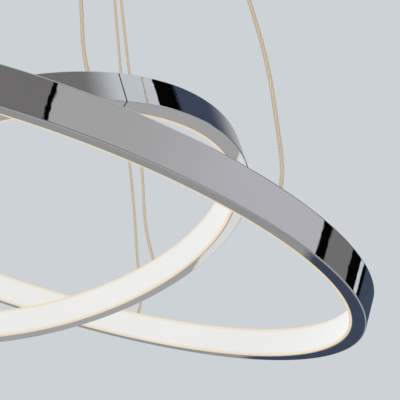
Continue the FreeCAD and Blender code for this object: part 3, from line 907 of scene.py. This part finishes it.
# ---- canopy, plate and grippers ----------------------------------------------------------------
@dataclass
class Fitting:
    """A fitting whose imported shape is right: its merged copy gets broken edges and a finish."""

    node: str
    body: str
    finish: Finish
    edge: float = 0.0002
    sharp: float = 30.0                   # edges over this angle, in degrees, are broken
    seam_reach: float = 0.000004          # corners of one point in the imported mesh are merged
    flat_within: float = 0.4              # faces level within this angle, in degrees, are merged

    def build(self) -> bpy.types.Object:
        """Make and dress the copy.

        Returns:
            The piece that stands for the node.
        """
        build = bmesh.new()
        build.from_mesh(frame["nodes"][self.node].data)
        bmesh.ops.remove_doubles(build, verts=build.verts, dist=self.seam_reach)
        bmesh.ops.dissolve_limit(build, angle_limit=math.radians(self.flat_within),
                                 verts=build.verts, edges=build.edges)
        mesh = bpy.data.meshes.new(self.node + "_part")
        build.to_mesh(mesh)
        build.free()
        piece = shown(self.node + "_part", mesh, self.sharp)
        bevel = piece.modifiers.new("broken_edges", "BEVEL")
        bevel.width = self.edge
        bevel.segments = 2
        bevel.limit_method = "ANGLE"
        bevel.angle_limit = math.radians(self.sharp)
        even_normals(piece)
        self.finish.on(piece)
        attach(piece, self.body)
        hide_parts(self.node)
        log.info("%s: %d faces", piece.name, len(mesh.polygons))
        return piece


@dataclass
class Canopy:
    """The ceiling cup with all that hangs on or in it."""

    fittings: list[Fitting] = field(default_factory=lambda: [
        Fitting("canopy_cup", "canopy", Finish.CANOPY_CHROME, 0.0002, 35.0),
        Fitting("mounting_plate", "mounting", Finish.ZINC_STEEL),
        Fitting("mounting_tabs", "mounting", Finish.ZINC_STEEL, 0.0003),
        Fitting("canopy_thumb_screws", "mounting", Finish.CANOPY_CHROME, 0.00015, 25.0),
        Fitting("earth_screw", "mounting", Finish.NICKEL_BRASS),
        Fitting("driver_case", "canopy", Finish.DRIVER_WHITE, 0.0003),
        Fitting("driver_lid", "canopy", Finish.DRIVER_WHITE, 0.0003),
        Fitting("driver_screws", "canopy", Finish.PLAIN_STEEL),
        Fitting("terminal_block", "canopy", Finish.TERMINAL_CLEAR, 0.0003),
        Fitting("gripper_bodies", "canopy", Finish.CANOPY_CHROME, 0.00015),
        Fitting("gripper_nuts", "canopy", Finish.NICKEL_BRASS, 0.0002),
    ] + [Fitting(f"gripper_sleeve_{n}", f"gripper_sleeve_{n}", Finish.CANOPY_CHROME, 0.00025)
         for n in range(1, 7)])

    def build(self) -> None:
        """Make every fitting and finish the pieces that stay inside."""
        for fitting in self.fittings:
            fitting.build()
        inside = {
            "terminal_screws": Finish.PLAIN_STEEL, "gripper_jaws": Finish.NICKEL_BRASS,
            "gripper_springs": Finish.PLAIN_STEEL,
        }
        for node, finish in inside.items():
            finish.on(frame["nodes"][node])


# ---- studio ------------------------------------------------------------------------------------
class Tone(Enum):
    """Plain tones of the room and of the panels that stand in it."""

    ROOM = linear(205, 210, 215)
    PEARL = linear(190, 190, 195)
    SILVER = linear(175, 175, 175)
    GREY = linear(155, 155, 155)
    STONE = linear(120, 118, 118)
    SLATE = linear(65, 75, 95)
    BLACK = linear(5, 5, 5)


@dataclass(frozen=True)
class Panel:
    """A panel of one tone that stands round the rings and that only polished metal shows."""

    start: float                          # bearing from +X, in degrees
    end: float
    tone: Tone


@dataclass
class Studio:
    """Floor, soft lamps, a pale room with panels for polished metal, and the camera."""

    background: Tone = Tone.ROOM
    lamp_share: float = 0.45
    world_share: float = 0.62
    floor_z: float = -4.2
    floor_radius: float = 3.2
    floor_rings: int = 23
    floor_steps: int = 96
    floor_fade: Band = (0.45, 0.95)       # shares of the radius over which it fades out

    camera_place: Point = (0.42901, -0.82686, -1.08120)
    camera_bearing: float = 108.371       # where it looks, in degrees from +X
    camera_climb: float = 24.965
    camera_roll: float = 0.666
    camera_lens: float = 103.784          # mm, on a 36 mm sensor

    # Steps in the sine of a ray's climb between the rows of panels.
    low_to_level: Band = (-0.02, 0.02)
    level_to_high: Band = (0.36, 0.44)
    clearing: Band = (0.82, 0.86)         # straight up and down there are no panels

    # A panel blends into the next one over the gap between them.
    level_panels: tuple[Panel, ...] = (
        Panel(-180, -140, Tone.ROOM), Panel(-110, -61, Tone.STONE),
        Panel(-60.5, -59.5, Tone.BLACK), Panel(-59, -40, Tone.SILVER), Panel(0, 34, Tone.PEARL),
        Panel(35, 39, Tone.BLACK), Panel(40, 54, Tone.STONE), Panel(55, 62, Tone.BLACK),
        Panel(63, 65, Tone.ROOM), Panel(66, 68, Tone.BLACK), Panel(70, 90, Tone.SLATE),
        Panel(125, 180, Tone.ROOM),
    )
    high_panels: tuple[Panel, ...] = (
        Panel(-180, -130, Tone.ROOM), Panel(-80, -40, Tone.STONE), Panel(-10, 14, Tone.ROOM),
        Panel(15, 30, Tone.BLACK), Panel(35, 60, Tone.SLATE), Panel(95, 105, Tone.SILVER),
        Panel(125, 180, Tone.ROOM),
    )
    low_panels: tuple[Panel, ...] = (
        Panel(-180, -140, Tone.PEARL), Panel(-90, -60, Tone.STONE), Panel(0, 70, Tone.GREY),
        Panel(85, 104, Tone.SILVER), Panel(106, 112, Tone.SLATE), Panel(113, 130, Tone.GREY),
        Panel(170, 180, Tone.PEARL),
    )

    @staticmethod
    def ring_of(nodes: Nodes, bearing: Value,
                panels: Sequence[Panel]) -> bpy.types.NodeSocket:
        """A ring of panels round the room.

        Args:
            nodes: The world's builder.
            bearing: Bearing of the ray, in degrees.
            panels: The panels in rising order.

        Returns:
            The colour's socket.
        """
        colour = panels[0].tone.value
        for before, after in zip(panels, panels[1:]):
            colour = nodes.mixed(bearing.ramped(before.end, after.start), colour, after.tone.value)
        return colour

    def make_world(self) -> None:
        """Pale room: matt surfaces get an even light, and polished ones show the panels too."""
        world = bpy.data.worlds.new("studio")
        world.use_nodes = True
        bpy.context.scene.world = world
        nodes = Nodes(world.node_tree)
        place = nodes.add("ShaderNodeTexCoord").outputs["Generated"]
        parts = nodes.add("ShaderNodeSeparateXYZ", None, {0: place})
        x, y, z = (nodes.value(parts, axis) for axis in "XYZ")
        bearing = y.bearing(x) * (180.0 / math.pi)
        level, high, low = (self.ring_of(nodes, bearing, panels) for panels in
                            (self.level_panels, self.high_panels, self.low_panels))
        upper = nodes.mixed(z.ramped(*self.level_to_high), level, high)
        sides = nodes.mixed(z.ramped(*self.low_to_level), low, upper)
        panels = nodes.mixed(abs(z).ramped(*self.clearing), sides, self.background.value)
        ray = nodes.add("ShaderNodeLightPath")
        glossy = nodes.value(ray, "Is Glossy Ray")
        through = nodes.value(ray, "Is Transmission Ray")
        looks = nodes.value(ray, "Is Camera Ray").largest(through).largest(glossy)
        room = nodes.mixed(glossy, self.background.value, panels)
        plain = nodes.add("ShaderNodeBackground", None, {0: (1.0, 1.0, 1.0), 1: self.world_share})
        pale = nodes.add("ShaderNodeBackground", None, {0: room, 1: 1.0})
        sockets = {0: looks, 1: plain.outputs[0], 2: pale.outputs[0]}
        whole = nodes.add("ShaderNodeMixShader", None, sockets)
        nodes.add("ShaderNodeOutputWorld", None, {0: whole.outputs[0]})

    @staticmethod
    def make_lamp(name: str, place: Point, size: float, share: float) -> None:
        """A large soft lamp that faces the rings.

        Args:
            name: The lamp's name.
            place: Where it stands.
            size: Its side.
            share: Light that it gives to a white card at the rings, of 1.
        """
        data = bpy.data.lights.new(name, "AREA")
        data.size = size
        offset = np.array(place) - (0.0, 0.0, -DROP)
        distance = float(np.linalg.norm(offset))
        data.energy = share * (math.pi * distance) ** 2
        lamp = bpy.data.objects.new(name, data)
        bpy.context.scene.collection.objects.link(lamp)
        lamp.location = place
        lamp.rotation_mode = "QUATERNION"
        lamp.rotation_quaternion = Vector(offset).to_track_quat("Z", "Y")
        lamp.visible_glossy = False

    def make_floor(self) -> None:
        """Plain pale disc far under the rings, which fades into the world at its rim."""
        rings, steps = self.floor_rings, self.floor_steps
        reach = np.linspace(0.0, self.floor_radius, rings + 1)[1:]
        outline = np.column_stack([reach, np.full(rings, self.floor_z)])
        points = revolved(outline, full_turn(steps)).reshape(-1, 3)
        row, column = np.meshgrid(np.arange(steps), np.arange(rings - 1), indexing="ij")
        after = (row + 1) % steps
        quads = np.stack([row * rings + column, row * rings + column + 1,
                          after * rings + column + 1, after * rings + column],
                         axis=-1).reshape(-1, 4)
        middle = (np.arange(steps) * rings).tolist()
        mesh = bpy.data.meshes.new("floor")
        mesh.from_pydata(points.tolist(), [], quads.tolist() + [middle])
        piece = shown("floor", mesh)
        made = bpy.data.materials.new("floor_paint")
        made.use_nodes = True
        nodes = Nodes(made.node_tree)
        place = nodes.add("ShaderNodeTexCoord").outputs["Object"]
        parts = nodes.add("ShaderNodeSeparateXYZ", None, {0: place})
        x, y = nodes.value(parts, "X"), nodes.value(parts, "Y")
        distance = (x * x + y * y).root()
        fade_start, fade_end = (share * self.floor_radius for share in self.floor_fade)
        clouds = nodes.noise(3.0, 2.0)
        nodes.surface({
            "Base Color": nodes.mixed(clouds, self.background.value,
                                      tuple(0.98 * part for part in self.background.value)),
            "Roughness": 0.9,
            "Alpha": 1 - distance.ramped(fade_start, fade_end),
        })
        piece.data.materials.append(made)

    def make_camera(self) -> None:
        """The photograph's viewpoint, from below and in front, looking up at the rings."""
        data = bpy.data.cameras.new("camera")
        data.sensor_width = 36.0
        data.lens = self.camera_lens
        data.clip_start, data.clip_end = 0.01, 50.0
        camera = bpy.data.objects.new("camera", data)
        bpy.context.scene.collection.objects.link(camera)
        turns = (("Z", self.camera_bearing - 90.0), ("X", 90.0 + self.camera_climb),
                 ("Z", self.camera_roll))
        place = Matrix.Translation(self.camera_place)
        for axis, degrees in turns:
            place = place @ Matrix.Rotation(math.radians(degrees), 4, axis)
        camera.matrix_world = place
        bpy.context.scene.camera = camera

    def build(self) -> None:
        """Set up the whole studio."""
        self.make_camera()
        self.make_world()
        self.make_floor()
        self.make_lamp("key_lamp", (-1.6, -2.4, 1.2), 2.2, 0.6 * self.lamp_share)
        self.make_lamp("fill_lamp", (2.6, -0.6, -0.2), 2.4, 0.4 * self.lamp_share)
        bpy.context.scene.view_settings.view_transform = "Standard"


SMALL_RADIUS = 0.195
SMALL_CABLE_ANGLES = (-49.5, 73.5, 192.0)
SEAM_PAST_CABLE = 0.022               # along the small ring, from its first cable to its seam

LARGE_RING = LightRing("large_ring", radius=0.300, tilt=16.5, seam=150.0,
                       cable_angles=(-26.5, 93.5, 213.5), grip_radius=0.096, lift=0.2)
SMALL_RING = LightRing("small_ring", radius=SMALL_RADIUS, tilt=-16.9,
                       seam=SMALL_CABLE_ANGLES[0] + math.degrees(SEAM_PAST_CABLE / SMALL_RADIUS),
                       cable_angles=SMALL_CABLE_ANGLES, grip_radius=0.060, lift=0.1)

CABLES = (
    Cable(1, LARGE_RING, (
        (0.2870, -0.0020, -0.005), (0.2790, -0.0010, 0.045), (0.2550, 0.0025, 0.122),
        (0.2100, 0.0040, 0.262), (0.1450, 0.0010, 0.455), (0.1090, 0.0005, 0.555)),
        exit_run=0.012),
    Cable(2, LARGE_RING, (
        (0.2900, 0.0015, 0.075), (0.2740, 0.0015, 0.135), (0.2370, 0.0045, 0.235),
        (0.1850, 0.0060, 0.375), (0.1380, 0.0035, 0.490), (0.1110, 0.0012, 0.555))),
    Cable(3, LARGE_RING, (
        (0.2660, 0.0060, 0.140), (0.2440, 0.0080, 0.195), (0.2110, 0.0070, 0.285),
        (0.1660, 0.0040, 0.410), (0.1320, 0.0015, 0.505), (0.1100, 0.0005, 0.560))),
    Cable(1, SMALL_RING, (
        (0.1755, -0.0070, 0.105), (0.1660, -0.0100, 0.160), (0.1460, -0.0110, 0.250),
        (0.1150, -0.0080, 0.380), (0.0870, -0.0040, 0.490), (0.0710, -0.0012, 0.555))),
    Cable(2, SMALL_RING, (
        (0.1850, 0.0135, 0.080), (0.1745, 0.0100, 0.135), (0.1490, 0.0145, 0.240),
        (0.1165, 0.0140, 0.375), (0.0880, 0.0070, 0.490), (0.0710, 0.0020, 0.555))),
    Cable(3, SMALL_RING, (
        (0.1900, -0.0020, 0.018), (0.1810, -0.0030, 0.072), (0.1600, -0.0020, 0.160),
        (0.1260, 0.0, 0.300), (0.0920, 0.0010, 0.450), (0.0710, 0.0005, 0.555))),
)


def main() -> None:
    """Build the studio, the cables, the rings and the canopy."""
    logging.basicConfig(level=logging.INFO, format="%(message)s")
    Studio().build()
    for cable in CABLES:
        cable.build()
    for ring in (LARGE_RING, SMALL_RING):
        ring.build()
    Canopy().build()


if __name__ == "__main__":
    main()
